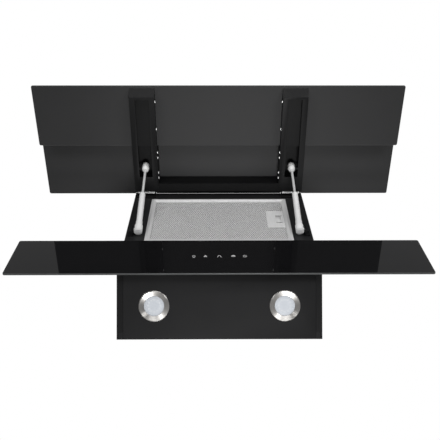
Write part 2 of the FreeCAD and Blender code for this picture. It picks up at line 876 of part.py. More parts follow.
def flap_arm():
    """Lipped channel: shallow along the middle glass, deep along the upper glass, open at the hinge end."""
    body = new_body("flap_arm_left", FLAP)
    middle = "(-arm_inner - arm_width / 2)"
    outer = [
        ("-lip_drop", "arm_start"), ("-lip_drop", "arm_end"), ("middle_rise", "arm_end + arm_nose"),
        ("middle_rise", STEP), ("upper_rise", STEP), ("upper_rise", "arm_start"),
    ]
    pad(body, polygon(sketch(body, "YZ_Plane", middle), outer), "arm_width", both=True)
    nose = "(arm_nose * (middle_rise - arm_wall + lip_drop) / (middle_rise + lip_drop))"
    lip = "(arm_wall - lip_drop)"
    inner = [
        (lip, "arm_start - arm_wall"), (lip, "arm_end - arm_wall"),
        ("middle_rise - arm_wall", f"arm_end + {nose} - arm_wall"),
        ("middle_rise - arm_wall", f"{STEP} - arm_wall"),
        ("upper_rise - arm_wall", f"{STEP} - arm_wall"), ("upper_rise - arm_wall", "arm_start - arm_wall"),
    ]
    pocket(body, polygon(sketch(body, "YZ_Plane", middle), inner), "arm_width - 2 * arm_wall", both=True)
    slot = sketch(body, "XZ_Plane")
    rectangle(
        slot, "-arm_inner - arm_width + lip_width", "slot_start", "-arm_inner - lip_width", "slot_end",
    )
    pocket(body, slot, "2 * arm_wall + 2 * lip_drop", both=True)
    mirrored("flap_arm_right", body)


def cross_beam():
    body = new_body("flap_cross_beam", FLAP)
    lip = "(arm_wall - lip_drop)"
    far = "(arm_start + beam_length)"
    near = "(arm_start + beam_length - arm_wall)"
    section = [
        ("-lip_drop", "arm_start"), ("-lip_drop", far), ("upper_rise", far), ("upper_rise", "arm_start"),
        ("upper_rise - arm_wall", "arm_start"), ("upper_rise - arm_wall", near), (lip, near),
        (lip, "arm_start"),
    ]
    pad(body, polygon(sketch(body, "YZ_Plane"), section), "2 * arm_inner", both=True)


# Gas struts: the rod swings on the arm's ball stud, and the cylinder slides on the rod.
def strut():
    tube = new_body("strut_cylinder_left", STRUT)
    gland = "(tube_length - gland_length)"
    section = [
        ("0", "-cap_tail + cap_dish"), ("cap_bore", "-cap_tail + cap_dish"), ("cap_bore", "-cap_tail"),
        ("cap_radius", "-cap_tail"), ("cap_radius", "-clip_start - clip_width"),
        ("cap_radius - clip_depth", "-clip_start - clip_width"), ("cap_radius - clip_depth", "-clip_start"),
        ("cap_radius", "-clip_start"), ("cap_radius", "cap_length"),
        ("sleeve_radius", "cap_length + cap_slope"), ("sleeve_radius", "sleeve_length"),
        ("tube_radius", "sleeve_length"), ("tube_radius", "tube_length"),
        ("rod_radius + run_clear", "tube_length"), ("rod_radius + run_clear", gland), ("tube_bore", gland),
        ("tube_bore", "cap_length + cap_slope"), ("0", "cap_length + cap_slope"),
    ]
    turned(tube, polygon(sketch(tube, "XZ_Plane"), section))
    boss = circle(sketch(tube, "YZ_Plane"), "0", "0", "eye_ball")
    pad(tube, boss, "cap_radius + fit", flip=True)
    mirrored("strut_cylinder_right", tube)

    rod = new_body("strut_rod_left", STRUT)
    low, high = f"({gland} - piston_length - fit)", f"({STRUT_LENGTH} - eye_ball - 1)"
    section = [
        ("0", low), ("piston_radius", low), ("piston_radius", f"{low} + piston_length"),
        ("rod_radius", f"{low} + piston_length"), ("rod_radius", high), ("0", high),
    ]
    turned(rod, polygon(sketch(rod, "XZ_Plane"), section))
    mirrored("strut_rod_right", rod)

    end = new_body("strut_rod_end_left", STRUT)
    shank = f"({STRUT_LENGTH} - socket_shank)"
    section = [
        ("rod_radius", shank), ("socket_sleeve", shank),
        ("socket_radius * 0.88", f"{STRUT_LENGTH} - socket_shank / 2"),
        ("socket_radius", f"{STRUT_LENGTH} - socket_shank / 6"),
        ("socket_radius", f"{STRUT_LENGTH} + socket_reach * 0.45"),
        ("socket_radius * 0.85", f"{STRUT_LENGTH} + socket_reach * 0.78"),
        ("socket_radius * 0.5", f"{STRUT_LENGTH} + socket_reach"),
        ("0", f"{STRUT_LENGTH} + socket_reach"), ("0", high), ("rod_radius", high),
    ]
    turned(end, polygon(sketch(end, "XZ_Plane"), section))
    ball_room = circle(sketch(end, "YZ_Plane"), "0", STRUT_LENGTH, "eye_ball + fit")
    pocket(end, ball_room, "socket_radius + 1")
    mirrored("strut_rod_end_right", end)


def strut_studs():
    """Lower stud bracket on the front frame, and upper ball stud on the outer wall of the arm."""
    base = new_body("strut_base_stud_left", SLOPE)
    foot = sketch(base, "XY_Plane")
    outside = "(-strut_span - cheek_start - stud_plate)"
    low, high = "ball_up - stud_half", "ball_up + stud_half"
    rectangle(foot, f"{outside} - stud_half", low, f"{outside} + stud_plate", high)
    pad(base, foot, "foot_thick")
    cheek = sketch(base, "YZ_Plane", outside)
    rectangle(
        cheek, "ball_up - stud_half * 0.8", "foot_thick", "ball_up + stud_half * 0.8",
        "ball_out + stud_half * 0.7",
    )
    pad(base, cheek, "stud_plate")
    neck = circle(sketch(base, "YZ_Plane", f"{outside} + stud_plate"), "ball_up", "ball_out", "eye_ball")
    pad(base, neck, "cheek_start - cap_radius - 2 * fit")
    mirrored("strut_base_stud_right", base)

    top = new_body("strut_top_stud_left", FLAP)
    wall = "(-arm_inner - arm_width + arm_wall)"
    plate = sketch(top, "YZ_Plane", wall)
    rectangle(
        plate, "eye_out - stud_half * 0.6", "eye_along - stud_half", "eye_out + 2 * stud_half",
        "eye_along + stud_half",
    )
    pad(top, plate, "stud_plate")
    neck = circle(sketch(top, "YZ_Plane", f"{wall} + stud_plate"), "eye_out", "eye_along", "stud_radius")
    pad(top, neck, f"-strut_span - {wall} - stud_plate - eye_ball")
    ball = circle(sketch(top, "YZ_Plane", "-strut_span"), "eye_out", "eye_along", "eye_ball")
    pad(top, ball, "2 * eye_ball", flip=True)
    mirrored("strut_top_stud_right", top)


def arm_screws():
    """Screw heads on the inner wall of each arm."""
    near, far = "(screw_first + screw_pair)", "(screw_second + screw_pair)"
    places = ("screw_first", near, "screw_second", far, "screw_third", "arm_end - screw_last")
    body = new_body("arm_screw_row", FLAP)
    for along in places:
        head = circle(sketch(body, "YZ_Plane", "-arm_inner"), "middle_rise / 2", along, "screw_radius")
        pad(body, head, "screw_head")
    paired("arm_screws", body)


# Blower
def scroll_outline(inset):
    """Spiral of three tangent quarter arcs that ends in an upright throat."""
    start = size("scroll_radius")
    step = size("scroll_growth")
    top = size("body_height") - size("sheet") - size("fan_height")
    rise = top + (inset if inset else 0)

    def arc(centre, radius, angles):
        points = [
            Vector(0, centre[0] + radius * math.cos(a), centre[1] + radius * math.sin(a))
            for a in angles
        ]
        return Part.Arc(*points).toShape()

    quarter = math.pi / 2
    edges = []
    for turn, centre in enumerate(((0, 0), (step, 0), (step, step))):
        first = quarter + turn * quarter
        edges.append(
            arc(centre, start + turn * step - inset, (first, first + quarter / 2, first + quarter)),
        )
    back = step + start + 2 * step - inset
    corners = [(back, step), (back, rise), (inset, rise), (inset, start - inset), (0, start - inset)]
    if not inset:
        corners = corners[:-1]
    for near, far in zip(corners, corners[1:]):
        edges.append(Part.makeLine(Vector(0, *near), Vector(0, *far)))
    return Part.Face(Part.Wire(edges))


def across(face, width):
    face.translate(Vector(-width / 2, 0, 0))
    return face.extrude(Vector(width, 0, 0))


def blower_scroll():
    wall, width = size("scroll_wall"), size("fan_width")
    shell = across(scroll_outline(0), width)
    rim, growth = size("scroll_flange"), size("scroll_growth")
    depth = size("scroll_radius") + 3 * growth
    top = size("body_height") - size("sheet") - size("fan_height")
    flange = Part.makeBox(width + 2 * rim, depth + rim, wall, Vector(-width / 2 - rim, -rim, top - wall))
    shell = shell.fuse(flange)
    shell = shell.cut(across(scroll_outline(wall), width - 2 * wall))
    inlet = Part.makeCylinder(size("inlet_radius"), 2 * width, Vector(-width, 0, 0), Vector(1, 0, 0))
    shaped("blower_scroll", shell.cut(inlet).removeSplitter(), FAN)


def impeller():
    """Double-inlet drum of forward-curved blades on a middle disc, with two end rings, hub and shaft."""
    inner, outer = size("blade_inner"), size("impeller_radius")
    length, thick, sweep = size("impeller_length"), size("blade_thick"), math.radians(size("blade_sweep"))

    def disc(radius, bore, width, middle):
        start = Vector(middle - width / 2, 0, 0)
        solid = Part.makeCylinder(radius, width, start, Vector(1, 0, 0))
        return solid.cut(Part.makeCylinder(bore, width, start, Vector(1, 0, 0))) if bore else solid

    ring = size("ring_thick")
    drum = disc(outer, 0, ring, 0).fuse(disc(size("hub_radius"), 0, size("hub_length"), 0))
    for side in (-1, 1):
        drum = drum.fuse(disc(outer, inner, ring, side * (length - ring) / 2))
    shaft = Part.makeCylinder(size("shaft_radius"), size("shaft_length"), Vector(), Vector(1, 0, 0))
    drum = drum.fuse(shaft)

    def rim_point(radius, angle):
        return Vector(-length / 2, radius * math.cos(angle), radius * math.sin(angle))

    middle, bulge = (inner + outer) / 2, sweep * 0.85
    edge = outer - size("run_clear")
    slim = thick / middle
    faces = [
        Part.Arc(rim_point(inner + thick, 0), rim_point(middle, bulge), rim_point(edge, sweep)).toShape(),
        Part.makeLine(rim_point(edge, sweep), rim_point(edge, sweep + slim)),
        Part.Arc(
            rim_point(edge, sweep + slim), rim_point(middle, bulge + slim),
            rim_point(inner + thick, slim),
        ).toShape(),
        Part.makeLine(rim_point(inner + thick, slim), rim_point(inner + thick, 0)),
    ]
    blade = Part.Face(Part.Wire(faces)).extrude(Vector(length, 0, 0))
    count = int(size("blade_count"))
    blades = []
    for step in range(count):
        copy = blade.copy()
        copy.rotate(Vector(), Vector(1, 0, 0), 360 * step / count)
        blades.append(copy)
    shaped("impeller", drum.fuse(blades).removeSplitter(), FAN)


def motor():
    body = new_body("motor", FAN)
    end = "(fan_width / 2)"
    start = f"({end} - motor_length)"
    shoulder = f"({start} + (motor_radius - motor_bell) / 2)"
    bore = "(shaft_radius + run_clear)"
    section = [
        (start, bore), (start, "motor_bell"), (shoulder, "motor_radius"), (end, "motor_radius"), (end, "0"),
        ("shaft_length + fit", "0"), ("shaft_length + fit", bore),
    ]
    turned(body, polygon(sketch(body, "XY_Plane"), section), "H_Axis")

    spider = new_body("motor_spider", FAN)
    ring = sketch(spider, "YZ_Plane", end)
    circle(ring, "0", "0", "spider_ring")
    circle(ring, "0", "0", "inlet_radius - spider_thick")
    pad(spider, ring, "spider_thick")
    pad(spider, circle(sketch(spider, "YZ_Plane", end), "0", "0", "spider_disc"), "spider_thick")
    arm = sketch(spider, "YZ_Plane", end)
    rectangle(arm, "-spider_arm / 2", "spider_disc * 0.8", "spider_arm / 2", "inlet_radius + spider_thick")
    polar(spider, pad(spider, arm, "spider_thick"), "3")


def electrics():
    capacitor = new_body("run_capacitor", HOOD)
    can = circle(
        sketch(capacitor, "XZ_Plane", "sheet"), "capacitor_side", "capacitor_height",
        "capacitor_radius",
    )
    pad(capacitor, can, "capacitor_length")
    tip = circle(
        sketch(capacitor, "XZ_Plane", "sheet + capacitor_length"), "capacitor_side", "capacitor_height",
        "shaft_radius",
    )
    pad(capacitor, tip, "shaft_radius")
    box = new_body("electronics_box", HOOD)
    outline = sketch(box, "XZ_Plane", "sheet")
    rectangle(outline, "-box_side - box_width", "box_low", "-box_side", "box_low + box_tall")
    round_corners(box, pad(box, outline, "box_deep"), "box_round", Vector(0, 1, 0))


# Outlet collar, flaps and gland
COLLAR = (("0", "-collar_back", "body_height - hang_height"), "0")


def outlet_collar():
    body = new_body("outlet_collar", COLLAR)
    bore = "(duct_radius - collar_wall)"
    ledge = "(damper_height - damper_thick / 2 - fit)"
    section = [
        (bore, "0"), ("duct_radius + collar_flange", "0"), ("duct_radius + collar_flange", "collar_wall"),
        ("duct_radius", "collar_wall"), ("duct_radius", "collar_height"), (bore, "collar_height"),
        (bore, ledge),
        (f"{bore} - damper_ledge", f"{ledge} - collar_bead"),
        (f"{bore} - damper_ledge", f"{ledge} - 2 * collar_bead"),
        (bore, f"{ledge} - 3 * collar_bead"),
    ]
    turned(body, polygon(sketch(body, "XZ_Plane"), section))
    pin_holes = sketch(body, "YZ_Plane")
    for side in ("-", ""):
        circle(pin_holes, f"{side}damper_half", "damper_height", "damper_pin")
    pocket(body, pin_holes, both=True)


def dampers():
    """Two half-round flaps, each rolled round its own pin across the collar."""
    radius = size("duct_radius") - size("collar_wall") - size("damper_gap")
    half, height, thick = size("damper_half"), size("damper_height"), size("damper_thick")
    barrel, pin = size("damper_barrel"), size("damper_pin")
    length = 2 * (radius - barrel)
    x_axis = Vector(1, 0, 0)
    for label, side in (("damper_flap_front", -1), ("damper_flap_back", 1)):
        flap = Part.makeCylinder(radius, thick, Vector(0, 0, height - thick / 2))
        keep = Part.makeBox(
            2 * radius, radius, 2 * height, Vector(-radius, half if side > 0 else -half - radius, 0),
        )
        start = Vector(-length / 2, side * half, height)
        flap = flap.common(keep).fuse(Part.makeCylinder(barrel, length, start, x_axis))
        bore = Part.makeCylinder(
            pin + size("run_clear"), 2 * length, Vector(-length, side * half, height), x_axis,
        )
        shaped(label, flap.cut(bore), COLLAR)
    reach = math.sqrt(size("duct_radius") ** 2 - (half + pin) ** 2) - size("run_clear")
    pins = [
        Part.makeCylinder(pin, 2 * reach, Vector(-reach, side * half, height), x_axis)
        for side in (-1, 1)
    ]
    shaped("damper_pins", Part.makeCompound(pins), COLLAR)


def cable_gland():
    body = new_body("cable_gland", (("-gland_side", "-gland_back", "body_height - hang_height"), "0"))
    bore = "(gland_neck - 2)"
    section = [
        (bore, "-sheet - gland_neck"), ("gland_neck", "-sheet - gland_neck"), ("gland_neck", "0"),
        ("gland_radius", "0"),
        ("gland_radius", "gland_height * 0.45"), ("gland_radius - 2", "gland_height * 0.5"),
        ("gland_radius - 2", "gland_height * 0.85"), (bore, "gland_height"),
    ]
    turned(body, polygon(sketch(body, "XZ_Plane"), section))


# Chimney covers
def cover(label, shrink, height):
    """Cover of folded sheet, open to the wall, with a return along each wall edge."""
    body = new_body(label, HOOD)
    side, inside = f"(chimney_width / 2 - {shrink})", f"(chimney_width / 2 - {shrink} - chimney_sheet)"
    front, behind = f"(chimney_depth - {shrink})", f"(chimney_depth - {shrink} - chimney_sheet)"
    back = f"({shrink})"
    lip = f"(chimney_width / 2 - {shrink} - chimney_return)"
    fold = f"({shrink} + chimney_sheet)"
    half = [(lip, f"-{back}"), (side, f"-{back}"), (side, f"-{front}")]
    inner = [(inside, f"-{behind}"), (inside, f"-{fold}"), (lip, f"-{fold}")]
    left = [(f"-{x}", y) for x, y in half[::-1]]
    left_inner = [(f"-{x}", y) for x, y in inner[::-1]]
    pad(body, polygon(sketch(body, "XY_Plane", "body_height"), half + left + left_inner + inner), height)


def chimney():
    cover("chimney_lower_cover", "0", "lower_cover")
    cover("chimney_upper_cover", "(chimney_sheet + cover_gap)", "upper_cover")


side_panel()
back_panel()
top_panel()
front_frame()
filter_seat()
lamp_panel()
lamp_rim()
lamp_lens()
lamp_can()
led_board()
lower_front()
touch_control()
filter_frame()
filter_layers()
filter_latch()
hinges()
flap_glasses()
flap_arm()
cross_beam()
strut()
strut_studs()
arm_screws()
blower_scroll()
impeller()
motor()
electrics()
outlet_collar()
dampers()
cable_gland()
chimney()
doc.recompute()

for item in doc.Objects:
    if {"Invalid", "Error"} & set(item.State):
        raise RuntimeError(f"{item.Label} failed: {item.State}")
for piece in PIECES:
    if piece.Shape.isNull() or not piece.Shape.isValid() or not piece.Shape.Solids:
        raise RuntimeError(f"{piece.Label} has no valid solid")

os.makedirs("parts", exist_ok=True)
for piece in PIECES:
    piece.Shape.exportStep(f"parts/{piece.Label}.step")
print(len(PIECES), "pieces written")
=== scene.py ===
import json
import math

import bpy
from bpy.props import FloatProperty, FloatVectorProperty, PointerProperty
from mathutils import Matrix, Vector

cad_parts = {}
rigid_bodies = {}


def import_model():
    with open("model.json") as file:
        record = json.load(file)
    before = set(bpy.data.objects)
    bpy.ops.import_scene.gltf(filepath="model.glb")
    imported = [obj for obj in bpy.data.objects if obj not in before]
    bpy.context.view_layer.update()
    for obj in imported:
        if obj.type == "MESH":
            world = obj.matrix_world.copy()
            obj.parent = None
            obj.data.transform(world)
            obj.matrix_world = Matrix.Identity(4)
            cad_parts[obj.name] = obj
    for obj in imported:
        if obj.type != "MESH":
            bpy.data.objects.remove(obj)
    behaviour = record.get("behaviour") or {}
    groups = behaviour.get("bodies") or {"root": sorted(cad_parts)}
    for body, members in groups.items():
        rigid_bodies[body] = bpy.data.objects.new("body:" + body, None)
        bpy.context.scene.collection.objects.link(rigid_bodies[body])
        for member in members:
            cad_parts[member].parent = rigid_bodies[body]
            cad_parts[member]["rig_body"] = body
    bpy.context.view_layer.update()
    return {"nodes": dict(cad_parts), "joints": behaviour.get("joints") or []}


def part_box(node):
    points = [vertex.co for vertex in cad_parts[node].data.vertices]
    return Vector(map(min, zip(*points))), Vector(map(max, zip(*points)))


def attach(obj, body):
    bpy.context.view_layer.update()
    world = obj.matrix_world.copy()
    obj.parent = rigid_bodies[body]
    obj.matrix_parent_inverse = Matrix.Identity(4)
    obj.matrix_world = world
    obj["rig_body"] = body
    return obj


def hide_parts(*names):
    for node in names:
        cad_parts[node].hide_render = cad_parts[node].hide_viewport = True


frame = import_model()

bl_info = {
    "name": "Inclined Range Hood Finish",
    "version": (1, 0, 0),
    "blender": (4, 5, 0),
    "location": "View3D > Sidebar > Range Hood",
    "description": "Dresses the packed range hood with glass, filter mesh, lamps, finishes and a plain stage",
    "category": "Object",
}

NODES = frame["nodes"]
MM = 0.001
SIDES = ("left", "right")

# The front leans back 30 degrees, and its foot lies a little in front of the lamp panel
LEAN = math.radians(120)
PANEL_SETBACK = 5 * MM

# Touch symbols, from the middle of the glass
SYMBOL_PLACES = tuple(across * MM for across in (-55, -30, 0, 30, 55))
PRINT_THICK = 0.1 * MM

# Border pressed into the filter's frame, and the pan behind the handle plate's recess
BORDER_SIDE, BORDER_HEAD, BORDER_FOOT = 12.5 * MM, 19 * MM, 18 * MM
BORDER_MARGIN = Vector((1.3, 1.3, 0)) * MM
BORDER_SHEET = 0.4 * MM
HEAD_RISE, FOOT_RISE = 2.3 * MM, 0.6 * MM
MESH_WAVE = 0.14 * MM
HANDLE_COVER = 3 * MM
PAN_LOW, PAN_HIGH = Vector((17, 22.4, 0)) * MM, Vector((38, 59.6, 0)) * MM
PAN_SHEET, PAN_LEDGE, PAN_DEPTH = 0.3 * MM, 1.2 * MM, 0.5 * MM
PAN_GAP, PAN_RIM_GAP = 0.3 * MM, 0.1 * MM

# Camera fitted to the view: place across and out from the wall, turn, and focal length
CAMERA_PLACE = (-8.4 * MM, -0.2289)
CAMERA_TURN = (math.pi + 0.01587, 0.00746, 0.00185)
FOCAL_PX, PICTURE_PX, SENSOR_MM = 614.64, 440, 36


def frame_turned(location):
    """Frame that leans with the inclined front: x across, y up the slope, z out of it."""
    return Matrix.Translation(location) @ Matrix.Rotation(LEAN, 4, "X")


def slope_frame():
    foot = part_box("lamp_panel")[0].y - PANEL_SETBACK
    return frame_turned(Vector((0, foot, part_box("lamp_panel")[0].z)))


def flap_frame():
    hinge = next(joint for joint in frame["joints"] if joint["name"] == "flap_hinge")
    return frame_turned(Vector(hinge["pos_m"]))


def local_box(node, matrix):
    """Lowest and highest corner of a CAD node, measured in a leaning frame."""
    inverse = matrix.inverted()
    points = [inverse @ vertex.co for vertex in NODES[node].data.vertices]
    return [Vector([pick(point[axis] for point in points) for axis in range(3)]) for pick in (min, max)]


SLOPE = slope_frame()
FLAP = flap_frame()


class HoodSizes(bpy.types.PropertyGroup):
    """Sizes that a user may change"""

    glass_corner: FloatProperty(
        name="Glass corner", description="Corner radius of the glass plates",
        default=4 * MM, min=0, subtype="DISTANCE", unit="LENGTH",
    )
    glass_chamfer: FloatProperty(
        name="Glass chamfer", description="Polished chamfer along the glass edges",
        default=0.7 * MM, min=0, subtype="DISTANCE", unit="LENGTH",
    )
    edge_round: FloatProperty(
        name="Edge round", description="Rounding of folded and cut sheet edges",
        default=0.35 * MM, min=0, subtype="DISTANCE", unit="LENGTH",
    )
    mesh_across: FloatProperty(
        name="Mesh width", description="Width of one opening of the filter's face mesh",
        default=5.0 * MM, min=2 * MM, subtype="DISTANCE", unit="LENGTH",
    )
    mesh_up: FloatProperty(
        name="Mesh height", description="Height of one opening of the filter's face mesh",
        default=8.6 * MM, min=2 * MM, subtype="DISTANCE", unit="LENGTH",
    )
    mesh_strand: FloatProperty(
        name="Mesh strand", description="Width of the strands of the filter's face mesh",
        default=1.3 * MM, min=0.2 * MM, subtype="DISTANCE", unit="LENGTH",
    )
    symbol: FloatProperty(
        name="Touch symbol", description="Overall size of one touch symbol",
        default=8.6 * MM, min=2 * MM, subtype="DISTANCE", unit="LENGTH",
    )
    symbol_up: FloatProperty(
        name="Symbol row", description="Height of the row of symbols up the slope",
        default=46.5 * MM, subtype="DISTANCE", unit="LENGTH",
    )
    camera_drop: FloatProperty(
        name="Camera drop", description="Height of the lamp panel above the camera",
        default=1.2875, min=0.2, subtype="DISTANCE", unit="LENGTH",
    )
    floor_drop: FloatProperty(
        name="Floor drop", description="Height of the lamp panel above the floor",
        default=1.65, min=0.3, subtype="DISTANCE", unit="LENGTH",
    )


class HoodColours(bpy.types.PropertyGroup):
    """Colours of the finishes"""

    enamel: FloatVectorProperty(
        name="Enamel", description="Satin black enamel of the casing and arms",
        default=(0.0072, 0.0072, 0.0075), size=3, min=0, max=1, subtype="COLOR",
    )
    glass: FloatVectorProperty(
        name="Glass", description="Black glass seen from the front",
        default=(0.004, 0.004, 0.0044), size=3, min=0, max=1, subtype="COLOR",
    )
    coating: FloatVectorProperty(
        name="Glass back", description="Baked coating on the back of the glass",
        default=(0.0175, 0.0175, 0.0179), size=3, min=0, max=1, subtype="COLOR",
    )
    aluminium: FloatVectorProperty(
        name="Aluminium", description="Bare aluminium of the grease filter",
        default=(0.74, 0.74, 0.74), size=3, min=0, max=1, subtype="COLOR",
    )
    strut: FloatVectorProperty(
        name="Strut", description="Light grey finish of the gas struts",
        default=(0.49, 0.49, 0.49), size=3, min=0, max=1, subtype="COLOR",
    )
    symbols: FloatVectorProperty(
        name="Symbols", description="Printed touch symbols",
        default=(0.4, 0.4, 0.4), size=3, min=0, max=1, subtype="COLOR",
    )


# Material building blocks
class Finish:
    """Node tree of one material, with a principled shader to set and to feed."""

    def __init__(self, name, **sockets):
        self.material = bpy.data.materials.new(name)
        self.material.use_nodes = True
        self.tree = self.material.node_tree
        self.shader = self.tree.nodes["Principled BSDF"]
        self.coords = None
        for socket, value in sockets.items():
            self.shader.inputs[socket.replace("_", " ")].default_value = value

    def node(self, kind, **inputs):
        made = self.tree.nodes.new(kind)
        for socket, value in inputs.items():
            made.inputs[socket.replace("_", " ")].default_value = value
        return made

    def link(self, output, target):
        self.tree.links.new(output, target)

    def place(self, scale=(1, 1, 1), turn=(0, 0, 0), move=(0, 0, 0)):
        """Object coordinates, moved, turned and stretched."""
        if self.coords is None:
            self.coords = self.tree.nodes.new("ShaderNodeTexCoord")
        mapping = self.node("ShaderNodeMapping", Location=move, Rotation=turn, Scale=scale)
        self.link(self.coords.outputs["Object"], mapping.inputs["Vector"])
        return mapping.outputs["Vector"]

    def noise(self, vector, scale, detail=2.0, roughness=0.5):
        made = self.node("ShaderNodeTexNoise", Scale=scale, Detail=detail, Roughness=roughness)
        self.link(vector, made.inputs["Vector"])
        return made.outputs["Fac"]

    def ramp(self, factor, low, high, start=0.0, end=1.0):
        """Two colours across a factor."""
        made = self.tree.nodes.new("ShaderNodeValToRGB")
        made.color_ramp.elements[0].position = start
        made.color_ramp.elements[0].color = (*low, 1)
        made.color_ramp.elements[1].position = end
        made.color_ramp.elements[1].color = (*high, 1)
        self.link(factor, made.inputs["Fac"])
        return made.outputs["Color"]

    def span(self, factor, low, high):
        """A factor of 0 to 1 spread over a range."""
        made = self.node("ShaderNodeMapRange")
        made.inputs["To Min"].default_value = low
        made.inputs["To Max"].default_value = high
        self.link(factor, made.inputs["Value"])
        return made.outputs["Result"]

    def feed(self, output, socket):
        self.link(output, self.shader.inputs[socket])

    def bump(self, height, strength, distance):
        made = self.node("ShaderNodeBump", Strength=strength, Distance=distance)
        self.link(height, made.inputs["Height"])
        self.feed(made.outputs["Normal"], "Normal")


def tint(colour, factor):
    return tuple(min(1, channel * factor) for channel in colour)


def enamel_finish(name, colour, roughness=0.42, gloss=0.3):
    """Powder-coated steel: faint orange peel, and gloss that wanders a little."""
    finish = Finish(name, Specular_IOR_Level=gloss)
    peel = finish.noise(finish.place(), 900, 3.0)
    cloud = finish.noise(finish.place(), 9, 2.0)
    finish.feed(finish.ramp(cloud, tint(colour, 0.88), tint(colour, 1.12), 0.3, 0.7), "Base Color")
    finish.feed(finish.span(cloud, roughness - 0.05, roughness + 0.05), "Roughness")
    finish.bump(peel, 0.12, 0.2 * MM)
    return finish.material


def glass_finish(name, colour, low, high, grain=0.0, gloss=0.5):
    """Glass face or coating: even colour with a trace of cloud in its gloss."""
    finish = Finish(name, IOR=1.5, Specular_IOR_Level=gloss)
    cloud = finish.noise(finish.place(), 6, 3.0)
    finish.feed(finish.ramp(cloud, tint(colour, 0.94), tint(colour, 1.06), 0.3, 0.7), "Base Color")
    finish.feed(finish.span(cloud, low, high), "Roughness")
    if grain:
        finish.bump(finish.noise(finish.place(), 2500, 2.0), grain, 0.1 * MM)
    return finish.material


def metal_finish(name, colour, roughness, along, strength=0.25, metal=1.0):
    """Metal with fine brush lines: along stretches the pattern on each axis."""
    finish = Finish(name, Metallic=metal)
    lines = finish.noise(finish.place(along), 700, 4.0, 0.6)
    cloud = finish.noise(finish.place(), 14, 2.0)
    finish.feed(finish.ramp(lines, tint(colour, 0.86), tint(colour, 1.06), 0.25, 0.75), "Base Color")
    finish.feed(finish.span(cloud, roughness - 0.06, roughness + 0.06), "Roughness")
    finish.bump(lines, strength, 0.05 * MM)
    return finish.material


def plastic_finish(name, colour, roughness, grain=0.2):
    """Moulded plastic with a fine spark-eroded grain."""
    finish = Finish(name, IOR=1.49)
    cells = finish.noise(finish.place(), 1600, 2.0)
    cloud = finish.noise(finish.place(), 11, 2.0)
    finish.feed(finish.ramp(cloud, tint(colour, 0.9), tint(colour, 1.1), 0.3, 0.7), "Base Color")
    finish.feed(finish.span(cells, roughness - 0.06, roughness + 0.06), "Roughness")
    finish.bump(cells, grain, 0.12 * MM)
    return finish.material


def turned_steel_finish(name, colour):
    """Steel turned on a lathe: the gloss is drawn out across the tool marks."""
    finish = Finish(name, Metallic=1.0, Roughness=0.4, Anisotropic=0.9, Anisotropic_Rotation=0.25)
    cloud = finish.noise(finish.place(), 60, 3.0)
    finish.feed(finish.ramp(cloud, tint(colour, 0.92), tint(colour, 1.08), 0.3, 0.7), "Base Color")
    round_about = finish.node("ShaderNodeTangent")
    round_about.direction_type = "RADIAL"
    round_about.axis = "Z"
    finish.feed(round_about.outputs["Tangent"], "Tangent")
    return finish.material


def lens_finish(name, colour):
    """Frosted plastic, milky enough to glow in daylight and thin enough to show the diodes."""
    finish = Finish(name, IOR=1.46, Alpha=0.42)
    cloud = finish.noise(finish.place(), 400, 2.0)
    finish.feed(finish.ramp(cloud, tint(colour, 0.97), colour), "Base Color")
    finish.feed(finish.span(cloud, 0.14, 0.2), "Roughness")
    return finish.material


def led_finish(name, board, chip):
    """Pale board whose chips, which stand below it, are a warm white."""
    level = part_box("led_board_left")[0].z + 0.9 * MM
    finish = Finish(name, Roughness=0.5)
    split = finish.node("ShaderNodeSeparateXYZ")
    finish.link(finish.place(), split.inputs["Vector"])
    depth = finish.node("ShaderNodeMapRange")
    depth.inputs["From Min"].default_value = level
    depth.inputs["From Max"].default_value = level + 0.05 * MM
    finish.link(split.outputs["Z"], depth.inputs["Value"])
    finish.feed(finish.ramp(depth.outputs["Result"], chip, board), "Base Color")
    return finish.material


# Modelling helpers
def deselect():
    if bpy.context.object and bpy.context.object.mode != "OBJECT":
        bpy.ops.object.mode_set(mode="OBJECT")
    bpy.ops.object.select_all(action="DESELECT")


def name_piece(name):
    piece = bpy.context.object
    piece.name = name
    piece.data.name = name
    return piece


def add_block(name, low, high):
    """Block between two corners, ready to be shaped."""
    deselect()
    low, high = Vector(low), Vector(high)
    bpy.ops.mesh.primitive_cube_add(size=1, location=(low + high) / 2, scale=high - low)
    bpy.ops.object.transform_apply(location=True, rotation=True, scale=True)
    return name_piece(name)


def add_sheet(name, low, high, height):
    """Flat rectangle between two corners, at a height."""
    deselect()
    bpy.ops.mesh.primitive_plane_add(size=1, location=((low.x + high.x) / 2, (low.y + high.y) / 2, height))
    piece = name_piece(name)
    piece.scale = (high.x - low.x, high.y - low.y, 1)
    bpy.ops.object.transform_apply(location=True, rotation=True, scale=True)
    return piece


def activate(piece):
    deselect()
    piece.select_set(True)
    bpy.context.view_layer.objects.active = piece


def move_in(piece, matrix):
    """Puts a piece that was modelled in a leaning frame into the part's frame."""
    activate(piece)
    piece.matrix_world = matrix @ piece.matrix_world
    bpy.ops.object.transform_apply(location=True, rotation=True, scale=True)
    return piece


def modify(piece, kind, **values):
    """Adds a modifier and applies it."""
    activate(piece)
    made = piece.modifiers.new(kind.title(), kind)
    for key, value in values.items():
        setattr(made, key, value)
    bpy.ops.object.modifier_apply(modifier=made.name)
    return piece


def select_edges(piece, test):
    """Edit mode with only the edges selected whose two ends pass a test."""
    activate(piece)
    bpy.ops.object.mode_set(mode="EDIT")
    bpy.ops.mesh.select_mode(type="EDGE")
    bpy.ops.mesh.select_all(action="DESELECT")
    bpy.ops.object.mode_set(mode="OBJECT")
    points = piece.data.vertices
    for edge in piece.data.edges:
        edge.select = test(*(points[index].co for index in edge.vertices))
    bpy.ops.object.mode_set(mode="EDIT")


